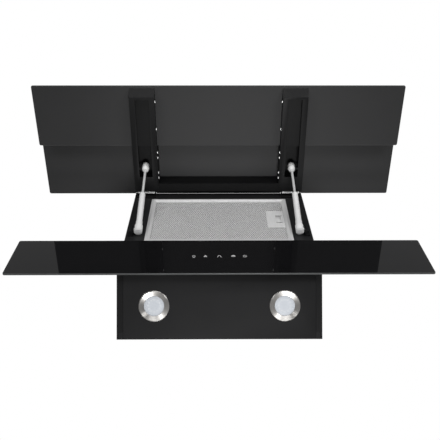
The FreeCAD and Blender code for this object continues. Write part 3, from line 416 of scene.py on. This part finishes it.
def choose_points(piece, chosen):
    """Edit mode with only the chosen points of a piece selected."""
    activate(piece)
    for point, pick in zip(piece.data.vertices, chosen):
        point.select = pick
    bpy.ops.object.mode_set(mode="EDIT")
    bpy.ops.mesh.select_mode(type="VERT")


def edit_all():
    """Edit mode with the whole of the active piece selected."""
    bpy.ops.object.mode_set(mode="EDIT")
    bpy.ops.mesh.select_all(action="SELECT")


def edit_end():
    bpy.ops.object.mode_set(mode="OBJECT")


def smooth(piece, angle=35):
    activate(piece)
    bpy.ops.object.shade_smooth_by_angle(angle=math.radians(angle))
    return piece


def paint(piece, *finishes):
    piece.data.materials.clear()
    for finish in finishes:
        piece.data.materials.append(bpy.data.materials[finish])
    return piece


def dressed(node, finish, soften):
    """Copy of a CAD node with its triangles merged and its edges rounded off, to stand for it."""
    source = NODES[node]
    piece = bpy.data.objects.new(f"{node}_finished", source.data.copy())
    bpy.context.scene.collection.objects.link(piece)
    activate(piece)
    bpy.ops.mesh.customdata_custom_splitnormals_clear()
    edit_all()
    bpy.ops.mesh.remove_doubles(threshold=0.002 * MM)
    bpy.ops.mesh.dissolve_limited(angle_limit=math.radians(1))
    edit_end()
    modify(
        piece, "BEVEL", width=soften, segments=2, limit_method="ANGLE",
        angle_limit=math.radians(40), use_clamp_overlap=True,
    )
    paint(smooth(piece, 20), finish)
    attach(piece, source["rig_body"])
    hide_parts(node)
    return piece


def paint_node(name, finish):
    """Gives a CAD node its finish."""
    node, material = NODES[name], bpy.data.materials[finish]
    for slot in node.material_slots:
        slot.material = material
    if not node.material_slots:
        node.data.materials.append(material)


# Pieces
def glass_plate(name, node, matrix, front):
    """Tempered plate: round corners, polished chamfer, gloss front and coated back."""
    sizes = bpy.context.scene.hood_sizes
    piece = add_block(name, *local_box(node, matrix))
    axis = max(range(3), key=lambda index: abs(front[index]))
    select_edges(piece, lambda a, b: abs((a - b).normalized()[axis]) > 0.9)
    bpy.ops.mesh.bevel(offset=sizes.glass_corner, segments=5, affect="EDGES")
    edit_end()
    modify(
        piece, "BEVEL", width=sizes.glass_chamfer, segments=2, limit_method="ANGLE",
        angle_limit=math.radians(60),
    )
    paint(piece, "black glass", "glass back", "glass edge")
    for face in piece.data.polygons:
        facing = face.normal.dot(Vector(front))
        face.material_index = 0 if facing > 0.98 else 1 if facing < -0.98 else 2
    smooth(move_in(piece, matrix), 20)
    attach(piece, NODES[node]["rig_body"])
    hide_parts(node)
    return piece


class HOOD_OT_finishes(bpy.types.Operator):
    """Make the finishes that the pieces share"""

    bl_idname = "hood.finishes"
    bl_label = "Finishes"

    def execute(self, context):
        colours = context.scene.hood_colours
        enamel_finish("black enamel", colours.enamel)
        # The arm, beam, side and lamp panel enamels are darker copies of the one black enamel, each dimmed to
        # how dark that part looks: painted shade
        enamel_finish("arm enamel painted shade", tint(colours.enamel, 0.66), 0.45, 0.1)
        enamel_finish("beam enamel painted shade", tint(colours.enamel, 0.44), 0.5, 0.07)
        enamel_finish("side enamel painted shade", tint(colours.enamel, 0.55), 0.5, 0.07)
        enamel_finish("lamp panel enamel painted shade", tint(colours.enamel, 0.9), 0.5, 0.07)
        glass_finish("black glass", colours.glass, 0.015, 0.04)
        glass_finish("glass back", colours.coating, 0.52, 0.6, 0.03, 0.22)
        glass_finish("glass edge", (0.05, 0.052, 0.052), 0.12, 0.2)
        # The filter's frame and face mesh are one aluminium, painted in a darker copy for the frame, border
        # and pan and a lighter copy for the strands: painted shade and painted highlight
        metal_finish("filter aluminium painted shade", tint(colours.aluminium, 0.74), 0.42, (1, 0.04, 0.04), metal=0.3)
        metal_finish("mesh aluminium painted highlight", tint(colours.aluminium, 1.08), 0.42, (1, 1, 1), metal=0.25)
        # The core is the same aluminium as the mesh; it is painted much darker so that the openings of the
        # face mesh show the shade inside the filter: painted shade
        metal_finish("filter core painted shade", tint(colours.aluminium, 0.3), 0.55, (1, 1, 1), 0.6, metal=0.4)
        metal_finish("steel plate", (0.34, 0.34, 0.34), 0.34, (0.04, 1, 1))
        metal_finish("handle plate", (0.63, 0.63, 0.63), 0.4, (1, 0.05, 0.05), metal=0.25)
        metal_finish("zinc plate", (0.55, 0.56, 0.57), 0.42, (0.3, 1, 1))
        metal_finish("chrome rod", (0.72, 0.72, 0.72), 0.3, (1, 1, 0.05), 0.05, metal=0.5)
        enamel_finish("strut grey", colours.strut, 0.34)
        plastic_finish("black plastic", (0.018, 0.018, 0.018), 0.5)
        plastic_finish("socket grey", (0.43, 0.43, 0.427), 0.42, 0.1)
        plastic_finish("board lacquer", (0.02, 0.09, 0.04), 0.3, 0.1)
        plastic_finish("symbol print", colours.symbols, 0.45, 0.05)
        enamel_finish("motor grey", (0.09, 0.095, 0.1), 0.5)
        turned_steel_finish("lamp rim steel", (0.385, 0.375, 0.361))
        lens_finish("lamp lens", (0.5, 0.525, 0.56))
        led_finish("led board", (0.24, 0.252, 0.268), (1.0, 0.98, 0.9))
        return {"FINISHED"}


class HOOD_OT_casing(bpy.types.Operator):
    """Finish the casing panels, front frame, chimney covers and outlet"""

    bl_idname = "hood.casing"
    bl_label = "Casing and Chimney"

    def execute(self, context):
        soften = context.scene.hood_sizes.edge_round
        sheets = (
            "top_panel", "back_panel", "front_frame", "filter_seat", "chimney_lower_cover",
            "chimney_upper_cover",
        )
        for node in sheets:
            dressed(node, "black enamel", soften)
        for side in SIDES:
            dressed(f"{side}_side_panel", "side enamel painted shade", soften)
        dressed("lamp_panel", "lamp panel enamel painted shade", soften)
        for node in ("outlet_collar", "damper_flap_front", "damper_flap_back", "cable_gland"):
            paint_node(node, "black plastic")
        paint_node("damper_pins", "zinc plate")
        return {"FINISHED"}


class HOOD_OT_glasses(bpy.types.Operator):
    """Model the lower glass and the two flap glasses"""

    bl_idname = "hood.glasses"
    bl_label = "Glass Plates"

    def execute(self, context):
        glass_plate("lower_glass_plate", "lower_glass", SLOPE, (0, 0, 1))
        glass_plate("upper_flap_plate", "flap_upper_glass", FLAP, (0, 1, 0))
        glass_plate("middle_flap_plate", "flap_middle_glass", FLAP, (0, 1, 0))
        for node in ("lower_glass_carrier", "touch_housing"):
            paint_node(node, "black plastic")
        paint_node("touch_board", "board lacquer")
        return {"FINISHED"}


class HOOD_OT_symbols(bpy.types.Operator):
    """Model the five touch symbols on the lower glass"""

    bl_idname = "hood.symbols"
    bl_label = "Touch Symbols"

    def execute(self, context):
        sizes = context.scene.hood_sizes
        face = local_box("lower_glass", SLOPE)[1].z
        makers = (self.bulb, self.fan, self.hood, self.dome, self.clock)
        for maker, across in zip(makers, SYMBOL_PLACES):
            piece = self.joined(f"symbol_{maker.__name__}", maker(sizes.symbol / 2))
            move_in(piece, Matrix.Translation((across, sizes.symbol_up, face)))
            move_in(piece, SLOPE)
            paint(piece, "symbol print")
            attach(piece, "hood")
        return {"FINISHED"}

    def raised(self, piece):
        """Gives a flat outline the thickness of a print."""
        activate(piece)
        edit_all()
        bpy.ops.mesh.extrude_region_move(TRANSFORM_OT_translate={"value": (0, 0, PRINT_THICK)})
        bpy.ops.mesh.select_all(action="SELECT")
        bpy.ops.mesh.normals_make_consistent(inside=False)
        edit_end()
        return piece

    def disc(self, radius, centre=(0, 0)):
        deselect()
        bpy.ops.mesh.primitive_circle_add(vertices=32, radius=radius, fill_type="NGON", location=(*centre, 0))
        bpy.ops.object.transform_apply(location=True, rotation=False, scale=False)
        return bpy.context.object

    def ring(self, radius, width, gap=0):
        """Ring, open downwards over a gap in degrees."""
        piece = self.disc(radius)
        edit_all()
        bpy.ops.mesh.inset(thickness=width)
        bpy.ops.mesh.delete(type="FACE")
        edit_end()
        if gap:
            limit = -math.cos(math.radians(gap / 2))
            for face in piece.data.polygons:
                face.select = face.center.normalized().y < limit
            bpy.ops.object.mode_set(mode="EDIT")
            bpy.ops.mesh.delete(type="FACE")
            edit_end()
        return self.raised(piece)

    def bar(self, start, end, width):
        """Straight stroke between two points."""
        deselect()
        start, end = Vector((*start, 0)), Vector((*end, 0))
        along = end - start
        bpy.ops.mesh.primitive_plane_add(size=1, location=(start + end) / 2)
        stroke = bpy.context.object
        stroke.scale = (along.length + width, width, 1)
        stroke.rotation_euler = (0, 0, math.atan2(along.y, along.x))
        bpy.ops.object.transform_apply(location=True, rotation=True, scale=True)
        return self.raised(stroke)

    def joined(self, name, parts):
        deselect()
        for part in parts:
            part.select_set(True)
        bpy.context.view_layer.objects.active = parts[0]
        if len(parts) > 1:
            bpy.ops.object.join()
        return name_piece(name)

    def bulb(self, half):
        line = half * 0.26
        globe = self.ring(half * 0.82, line, gap=70)
        base = [self.bar((-half * 0.3, -half * low), (half * 0.3, -half * low), line) for low in (0.72, 1.05)]
        return [globe, *base]

    def fan(self, half):
        blades = []
        for turn in range(3):
            angle = math.radians(90 + 120 * turn)
            blade = self.disc(half * 0.42, (half * 0.5 * math.cos(angle), half * 0.5 * math.sin(angle)))
            blades.append(self.raised(blade))
        return [*blades, self.raised(self.disc(half * 0.2))]

    def hood(self, half):
        line = half * 0.28
        top, foot = half * 0.35, half * 0.95
        legs = [self.bar((side * top, half * 0.6), (side * foot, -half * 0.85), line) for side in (-1, 1)]
        return [*legs, self.bar((-top, half * 0.75), (top, half * 0.75), line)]

    def dome(self, half):
        piece = self.disc(half)
        edit_all()
        bpy.ops.mesh.bisect(plane_co=(0, -half * 0.1, 0), plane_no=(0, -1, 0), clear_outer=True)
        edit_end()
        foot = self.bar((-half * 0.9, -half * 0.45), (half * 0.9, -half * 0.45), half * 0.22)
        return [self.raised(piece), foot]

    def clock(self, half):
        line = half * 0.24
        hands = [self.bar((0, 0), (0, half * 0.5), line), self.bar((0, 0), (half * 0.4, 0), line)]
        return [self.ring(half, line), *hands]


class HOOD_OT_filter(bpy.types.Operator):
    """Model the expanded face mesh and finish the grease filter"""

    bl_idname = "hood.filter"
    bl_label = "Grease Filter"

    def execute(self, context):
        sizes = context.scene.hood_sizes
        self.face_mesh(sizes)
        self.pressed_border()
        self.recess_pan()
        dressed("filter_frame", "filter aluminium painted shade", sizes.edge_round)
        dressed("filter_handle_plate", "handle plate", sizes.edge_round)
        dressed("filter_latch", "handle plate", sizes.edge_round)
        paint_node("filter_rear_mesh", "mesh aluminium painted highlight")
        # Much darker aluminium on the core: painted shade behind the mesh openings
        paint_node("filter_core", "filter core painted shade")
        return {"FINISHED"}

    def face_mesh(self, sizes):
        """Expanded metal: a grid turned on its corner, stretched, trimmed, waved and given its strands."""
        low, high = local_box("filter_front_mesh", SLOPE)
        middle, span = (low + high) / 2, high - low
        cells = math.ceil(span.x / sizes.mesh_across + span.y / sizes.mesh_up) + 2
        deselect()
        bpy.ops.mesh.primitive_grid_add(
            x_subdivisions=cells, y_subdivisions=cells, size=cells / math.sqrt(2),
            rotation=(0, 0, math.radians(45)),
        )
        bpy.ops.object.transform_apply(location=True, rotation=True, scale=True)
        piece = name_piece("filter_face_mesh")
        piece.scale = (sizes.mesh_across, sizes.mesh_up, 1)
        bpy.ops.object.transform_apply(location=True, rotation=True, scale=True)
        self.wave(piece, sizes.mesh_up / 2)
        for side in (-1, 1):
            self.trim(piece, (side * span.x / 2, 0, 0), (side, 0, 0))
            self.trim(piece, (0, side * span.y / 2, 0), (0, side, 0))
        self.open_recess(piece, middle)
        modify(piece, "WIREFRAME", thickness=sizes.mesh_strand, use_even_offset=False, use_boundary=True)
        self.flatten(piece, span.z)
        paint(piece, "mesh aluminium painted highlight")
        move_in(piece, SLOPE @ Matrix.Translation(middle))
        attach(piece, "hood")
        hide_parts("filter_front_mesh")

    def open_recess(self, piece, middle):
        """Takes out the strands behind the handle plate, whose recess is open."""
        low, high = (corner - middle for corner in local_box("filter_handle_plate", SLOPE))
        inset = Vector((HANDLE_COVER, HANDLE_COVER, 0))
        low, high = low + inset, high - inset
        choose_points(piece, [
            low.x < point.co.x < high.x and low.y < point.co.y < high.y for point in piece.data.vertices
        ])
        bpy.ops.mesh.delete(type="VERT")
        edit_end()

    def pressed_border(self):
        """Border pressed up into a low roof, mitred at its corners, that lies on the filter's frame."""
        low, high = local_box("filter_core", SLOPE)
        low, high = low - BORDER_MARGIN, high + BORDER_MARGIN
        side, head, foot = BORDER_SIDE, BORDER_HEAD, BORDER_FOOT
        piece = add_sheet("filter_pressed_border", low, high, local_box("filter_frame", SLOPE)[1].z)
        edit_all()
        bpy.ops.mesh.inset(thickness=side / 2)
        bpy.ops.mesh.inset(thickness=side / 2)
        bpy.ops.mesh.delete(type="FACE")
        edit_end()
        middle = (low.y + high.y) / 2
        rings = [round((high.x - abs(point.co.x)) / side * 2) for point in piece.data.vertices]
        upper = [point.co.y > middle for point in piece.data.vertices]
        for ring, top, move in (
            (1, True, (0, side / 2 - head / 2, HEAD_RISE)),
            (1, False, (0, foot / 2 - side / 2, FOOT_RISE)),
            (2, True, (0, side - head, 0)),
            (2, False, (0, foot - side, 0)),
        ):
            self.shift(piece, [at == ring and up == top for at, up in zip(rings, upper)], move)
        modify(piece, "SOLIDIFY", thickness=BORDER_SHEET, offset=1, use_even_offset=True)
        modify(
            piece, "BEVEL", width=0.5 * MM, segments=2, limit_method="ANGLE",
            angle_limit=math.radians(12),
        )
        smooth(piece, 25)
        paint(piece, "filter aluminium painted shade")
        move_in(piece, SLOPE)
        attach(piece, "hood")

    def recess_pan(self):
        """Shallow pan that closes the handle's recess behind the latch."""
        corner = local_box("filter_handle_plate", SLOPE)[0]
        low, high = corner + PAN_LOW, corner + PAN_HIGH
        back = local_box("filter_latch", SLOPE)[0].z - PAN_GAP
        piece = add_sheet("filter_recess_pan", low, high, back)
        edit_all()
        bpy.ops.mesh.inset(thickness=PAN_LEDGE)
        bpy.ops.transform.translate(value=(0, 0, -PAN_DEPTH))
        edit_end()
        middle, reach = (low.y + high.y) / 2, (high.y - low.y) / 2 - 0.1 * MM
        select_edges(piece, lambda one, two: min(abs(one.y - middle), abs(two.y - middle)) > reach)
        wall = (0, 0, corner.z - back - PAN_RIM_GAP)
        bpy.ops.mesh.extrude_region_move(TRANSFORM_OT_translate={"value": wall})
        edit_end()
        modify(piece, "SOLIDIFY", thickness=PAN_SHEET, offset=0, use_even_offset=True)
        smooth(piece, 25)
        paint(piece, "filter aluminium painted shade")
        move_in(piece, SLOPE)
        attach(piece, "hood")

    def shift(self, piece, chosen, move):
        """Moves the chosen points of a piece."""
        choose_points(piece, chosen)
        bpy.ops.transform.translate(value=move)
        edit_end()

    def wave(self, piece, row):
        """Lifts every second row of joints, so that the strands lean as in drawn metal."""
        even = [round(point.co.y / row) % 2 == 0 for point in piece.data.vertices]
        self.shift(piece, even, (0, 0, MESH_WAVE))

    def trim(self, piece, point, out):
        activate(piece)
        edit_all()
        bpy.ops.mesh.bisect(plane_co=point, plane_no=out, clear_outer=True)
        edit_end()

    def flatten(self, piece, thick):
        """Presses the strands to the thickness of the sheet they were drawn from."""
        heights = [point.co.z for point in piece.data.vertices]
        piece.scale.z = thick / (max(heights) - min(heights))
        piece.location.z = -(max(heights) + min(heights)) / 2 * piece.scale.z
        activate(piece)
        bpy.ops.object.transform_apply(location=True, rotation=True, scale=True)


class HOOD_OT_lamps(bpy.types.Operator):
    """Finish the lamps"""

    bl_idname = "hood.lamps"
    bl_label = "Lamps"

    def execute(self, context):
        for side in SIDES:
            paint_node(f"lamp_rim_{side}", "lamp rim steel")
            paint_node(f"lamp_lens_{side}", "lamp lens")
            paint_node(f"lamp_can_{side}", "black plastic")
            paint_node(f"led_board_{side}", "led board")
        return {"FINISHED"}


class HOOD_OT_flap(bpy.types.Operator):
    """Finish the flap's arms, beam, hinges and struts"""

    bl_idname = "hood.flap"
    bl_label = "Flap Arms and Struts"

    def execute(self, context):
        soften = context.scene.hood_sizes.edge_round
        for side in SIDES:
            dressed(f"flap_arm_{side}", "arm enamel painted shade", soften)
        dressed("flap_cross_beam", "beam enamel painted shade", soften)
        for side in SIDES:
            dressed(f"hinge_bracket_{side}", "arm enamel painted shade", soften)
            dressed(f"hinge_leaf_{side}", "steel plate", soften)
            paint_node(f"strut_cylinder_{side}", "strut grey")
            paint_node(f"strut_rod_{side}", "chrome rod")
            paint_node(f"strut_rod_end_{side}", "socket grey")
            paint_node(f"strut_base_stud_{side}", "arm enamel painted shade")
            paint_node(f"strut_top_stud_{side}", "arm enamel painted shade")
        paint_node("hinge_pins", "steel plate")
        paint_node("arm_screws", "chrome rod")
        return {"FINISHED"}


class HOOD_OT_blower(bpy.types.Operator):
    """Finish the blower and the electric parts inside"""

    bl_idname = "hood.blower"
    bl_label = "Blower"

    def execute(self, context):
        for node in ("blower_scroll", "motor_spider"):
            paint_node(node, "zinc plate")
        for node in ("impeller", "run_capacitor", "electronics_box"):
            paint_node(node, "black plastic")
        paint_node("motor", "motor grey")
        return {"FINISHED"}


class HOOD_OT_stage(bpy.types.Operator):
    """Set the camera, soft lamps, grey floor, grey card and white surroundings"""

    bl_idname = "hood.stage"
    bl_label = "Stage"

    def execute(self, context):
        sizes = context.scene.hood_sizes
        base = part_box("lamp_panel")[0].z
        self.camera(context, base - sizes.camera_drop)
        self.floor(base - sizes.floor_drop)
        self.card()
        self.lamp("front lamp", (0, -1.8, -1.6), 1.2, 26)
        self.lamp("right lamp", (1.3, -1.2, -1.5), 0.6, 20)
        self.lamp("left lamp", (-1.3, -1.2, -1.5), 0.6, 14)
        self.lamp("low lamp", (0.1, 0.75, -1.72), 0.4, 2.4, (0.05, -0.03, -0.2), 44, 1.4)
        self.lamp("top lamp", (0.6, 1.6, 2.3), 2.4, 40)
        self.surroundings(context)
        context.scene.view_settings.view_transform = "Standard"
        return {"FINISHED"}

    def camera(self, context, height):
        deselect()
        bpy.ops.object.camera_add(
            location=(*CAMERA_PLACE, height), rotation=CAMERA_TURN,
        )
        camera = context.object
        camera.name = "under_camera"
        camera.data.sensor_width = SENSOR_MM
        camera.data.lens = FOCAL_PX / PICTURE_PX * SENSOR_MM
        camera.data.clip_start = 0.05
        context.scene.camera = camera

    def lamp(self, name, place, size, power, aim=(0, -0.25, -0.1), spread=180, wide=1):
        deselect()
        bpy.ops.object.light_add(type="AREA", location=place)
        lamp = bpy.context.object
        lamp.name = name
        lamp.data.shape = "RECTANGLE"
        lamp.data.size = size * wide
        lamp.data.size_y = size
        lamp.data.energy = power
        lamp.data.spread = math.radians(spread)
        lamp.rotation_mode = "QUATERNION"
        lamp.rotation_quaternion = (Vector(aim) - Vector(place)).to_track_quat("-Z", "Y")

    def floor(self, height):
        deselect()
        bpy.ops.mesh.primitive_plane_add(size=14, location=(0, -1, height))
        floor = name_piece("floor")
        finish = Finish("grey floor", Roughness=0.7)
        cloud = finish.noise(finish.place(), 3, 2.0)
        finish.feed(finish.ramp(cloud, (0.43, 0.43, 0.43), (0.47, 0.47, 0.47)), "Base Color")
        paint(floor, finish.material.name)

    def card(self):
        """Grey card far in front that only gloss mirrors."""
        deselect()
        bpy.ops.mesh.primitive_plane_add(size=1)
        card = name_piece("grey_card")
        card.scale = (12, 7, 1)
        bpy.ops.object.transform_apply(location=True, rotation=True, scale=True)
        centre = Vector((0, -5.54, 2.44))
        card.location = centre
        card.rotation_mode = "QUATERNION"
        card.rotation_quaternion = (Vector((0, -0.17, -0.23)) - centre).to_track_quat("Z", "Y")
        finish = Finish("card")
        glow = finish.node("ShaderNodeEmission")
        glow.inputs["Color"].default_value = (0.33, 0.33, 0.33, 1)
        clear = finish.node("ShaderNodeBsdfTransparent")
        path = finish.node("ShaderNodeLightPath")
        mix = finish.node("ShaderNodeMixShader")
        finish.link(path.outputs["Is Glossy Ray"], mix.inputs["Fac"])
        finish.link(clear.outputs["BSDF"], mix.inputs[1])
        finish.link(glow.outputs["Emission"], mix.inputs[2])
        finish.link(mix.outputs["Shader"], finish.tree.nodes["Material Output"].inputs["Surface"])
        paint(card, finish.material.name)

    def surroundings(self, context):
        """White to the camera and in gloss and glass; a softer grey room as light."""
        world = bpy.data.worlds.new("plain room")
        context.scene.world = world
        world.use_nodes = True
        tree = world.node_tree
        tree.nodes.clear()
        room = tree.nodes.new("ShaderNodeBackground")
        room.inputs["Color"].default_value = (0.3, 0.3, 0.303, 1)
        white = tree.nodes.new("ShaderNodeBackground")
        white.inputs["Color"].default_value = (1, 1, 1, 1)
        path = tree.nodes.new("ShaderNodeLightPath")
        seen = path.outputs["Is Camera Ray"]
        for ray in ("Is Glossy Ray", "Is Transmission Ray"):
            either = tree.nodes.new("ShaderNodeMath")
            either.operation = "MAXIMUM"
            tree.links.new(seen, either.inputs[0])
            tree.links.new(path.outputs[ray], either.inputs[1])
            seen = either.outputs["Value"]
        mix = tree.nodes.new("ShaderNodeMixShader")
        out = tree.nodes.new("ShaderNodeOutputWorld")
        tree.links.new(seen, mix.inputs["Fac"])
        tree.links.new(room.outputs["Background"], mix.inputs[1])
        tree.links.new(white.outputs["Background"], mix.inputs[2])
        tree.links.new(mix.outputs["Shader"], out.inputs["Surface"])


class HOOD_PT_panel(bpy.types.Panel):
    """Steps and sizes of the range hood's finish"""

    bl_idname = "HOOD_PT_panel"
    bl_label = "Range Hood"
    bl_space_type = "VIEW_3D"
    bl_region_type = "UI"
    bl_category = "Range Hood"

    def draw(self, context):
        layout = self.layout
        for step in STEPS:
            layout.operator(step.bl_idname)
        for group in (context.scene.hood_sizes, context.scene.hood_colours):
            box = layout.box()
            for name in group.__annotations__:
                box.prop(group, name)


STEPS = (
    HOOD_OT_finishes,
    HOOD_OT_casing,
    HOOD_OT_glasses,
    HOOD_OT_symbols,
    HOOD_OT_filter,
    HOOD_OT_lamps,
    HOOD_OT_flap,
    HOOD_OT_blower,
    HOOD_OT_stage,
)
CLASSES = (HoodSizes, HoodColours, *STEPS, HOOD_PT_panel)


def register():
    for item in CLASSES:
        bpy.utils.register_class(item)
    bpy.types.Scene.hood_sizes = PointerProperty(type=HoodSizes)
    bpy.types.Scene.hood_colours = PointerProperty(type=HoodColours)


def unregister():
    del bpy.types.Scene.hood_colours
    del bpy.types.Scene.hood_sizes
    for item in reversed(CLASSES):
        bpy.utils.unregister_class(item)


def main():
    register()
    bpy.ops.hood.finishes()
    bpy.ops.hood.casing()
    bpy.ops.hood.glasses()
    bpy.ops.hood.symbols()
    bpy.ops.hood.filter()
    bpy.ops.hood.lamps()
    bpy.ops.hood.flap()
    bpy.ops.hood.blower()
    bpy.ops.hood.stage()


if __name__ == "__main__":
    main()
